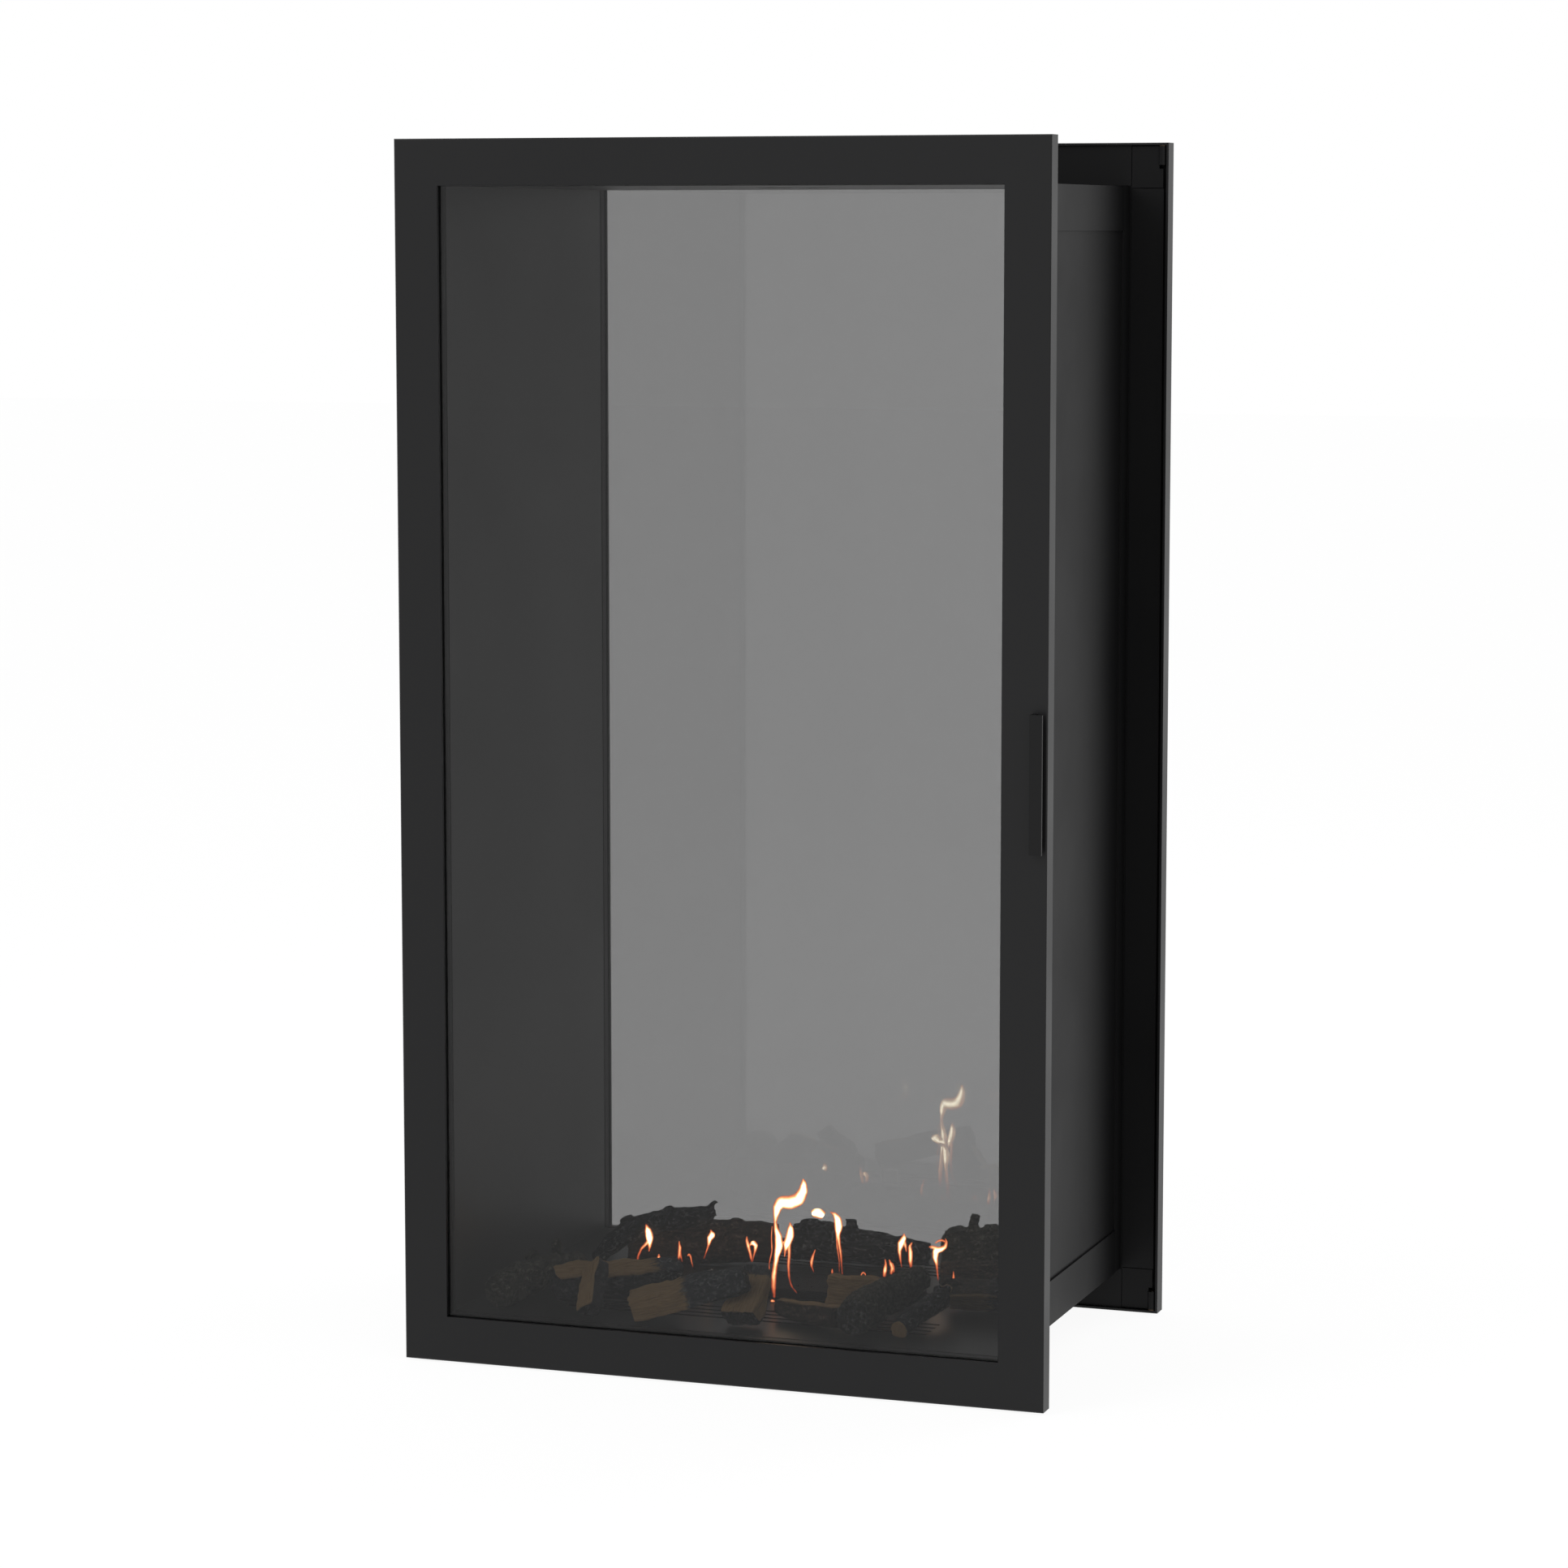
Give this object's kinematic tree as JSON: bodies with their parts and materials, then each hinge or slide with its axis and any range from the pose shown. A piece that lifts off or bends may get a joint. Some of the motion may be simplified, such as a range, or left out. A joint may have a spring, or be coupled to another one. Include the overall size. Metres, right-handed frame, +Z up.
{
  "type": "double-sided gas fireplace",
  "caption": "Tall see-through gas fireplace: steel casing with a glazed hinged door on both faces, black frames, log set over a burner, flue collar on top.",
  "frame": {"origin": "centre of the footprint, on the floor under the levelling feet", "axes": "+X to the right along the glass seen from the front, +Y from the front door to the rear door, +Z up"},
  "size_m": [0.85, 0.606, 1.553],
  "materials": {
    "frame_black": "fine matt black stove paint",
    "handle_black": "satin black paint",
    "rim_black": "matt black paint",
    "casing_black": "matt black sheet steel",
    "liner_black": "satin black heat-resistant paint",
    "glass": "dark tinted ceramic glass",
    "rope": "woven glass-fibre rope",
    "zinc": "zinc-plated steel",
    "magnet": "coated ferrite",
    "bronze": "sintered bronze",
    "galvanised": "galvanised steel",
    "burner_black": "black enamelled casting",
    "valve_alloy": "die-cast alloy",
    "brass_pipe": "machined brass",
    "rubber_foot": "steel stud on a rubber pad",
    "log_bark": "ceramic-fibre log, dark bark",
    "log_brown": "ceramic-fibre log, brown bark",
    "log_char": "ceramic-fibre log, charred",
    "log_split": "ceramic-fibre log, split face",
    "flame": "gas flame, drawn only in the visual model"
  },
  "bodies": {
    "casing": {"front_rim": "rim_black", "front_cross_strips": "rim_black", "front_side_strips": "rim_black", "front_rope_gasket": "rope", "rear_rim": "rim_black", "rear_cross_strips": "rim_black", "rear_side_strips": "rim_black", "rear_rope_gasket": "rope", "hinge_brackets": "rim_black", "hinge_bushes": "bronze", "corner_plates": "rim_black", "catch_magnets": "magnet", "cover_screws": "rim_black", "lid": "casing_black", "base": "casing_black", "side_panel_left": "casing_black", "side_panel_right": "casing_black", "liner_left": "liner_black", "liner_right": "liner_black", "ceiling": "liner_black", "fire_floor": "liner_black", "flue_outer": "galvanised", "flue_inner": "galvanised", "burner_box": "casing_black", "burner_head": "burner_black", "pilot_burner": "zinc", "gas_valve": "valve_alloy", "gas_pipe": "valve_alloy", "gas_inlet": "brass_pipe", "feet": "rubber_foot", "log_bark_left": "log_bark", "log_charred_top": "log_char", "log_back": "log_brown", "log_charred_back": "log_char", "log_right_back": "log_bark", "log_brown_right": "log_brown", "log_right_front": "log_char", "log_split_left": "log_split", "log_split_end_on": "log_split", "log_split_front": "log_split", "log_stump": "log_split", "log_reddish": "log_brown", "log_tan_block": "log_split", "log_diagonal": "log_bark", "log_dark_branch": "log_char"},
    "front_door": {"front_door_frame": "frame_black", "front_glass": "glass", "front_glass_tape": "rope", "front_glass_clips": "zinc", "front_door_screws": "zinc", "front_handle": "handle_black", "front_hinge_pins": "zinc"},
    "rear_door": {"rear_door_frame": "frame_black", "rear_glass": "glass", "rear_glass_tape": "rope", "rear_glass_clips": "zinc", "rear_door_screws": "zinc", "rear_handle": "handle_black", "rear_hinge_pins": "zinc"}
  },
  "joints": [
    {"name": "front_door_hinge", "type": "hinge", "parent": "casing", "child": "front_door", "pos_m": [-0.416, -0.268, 0.778], "axis": [0, 0, -1], "range_deg": [0, 100]},
    {"name": "rear_door_hinge", "type": "hinge", "parent": "casing", "child": "rear_door", "pos_m": [0.416, 0.268, 0.778], "axis": [0, 0, -1], "range_deg": [0, 100]}
  ]
}
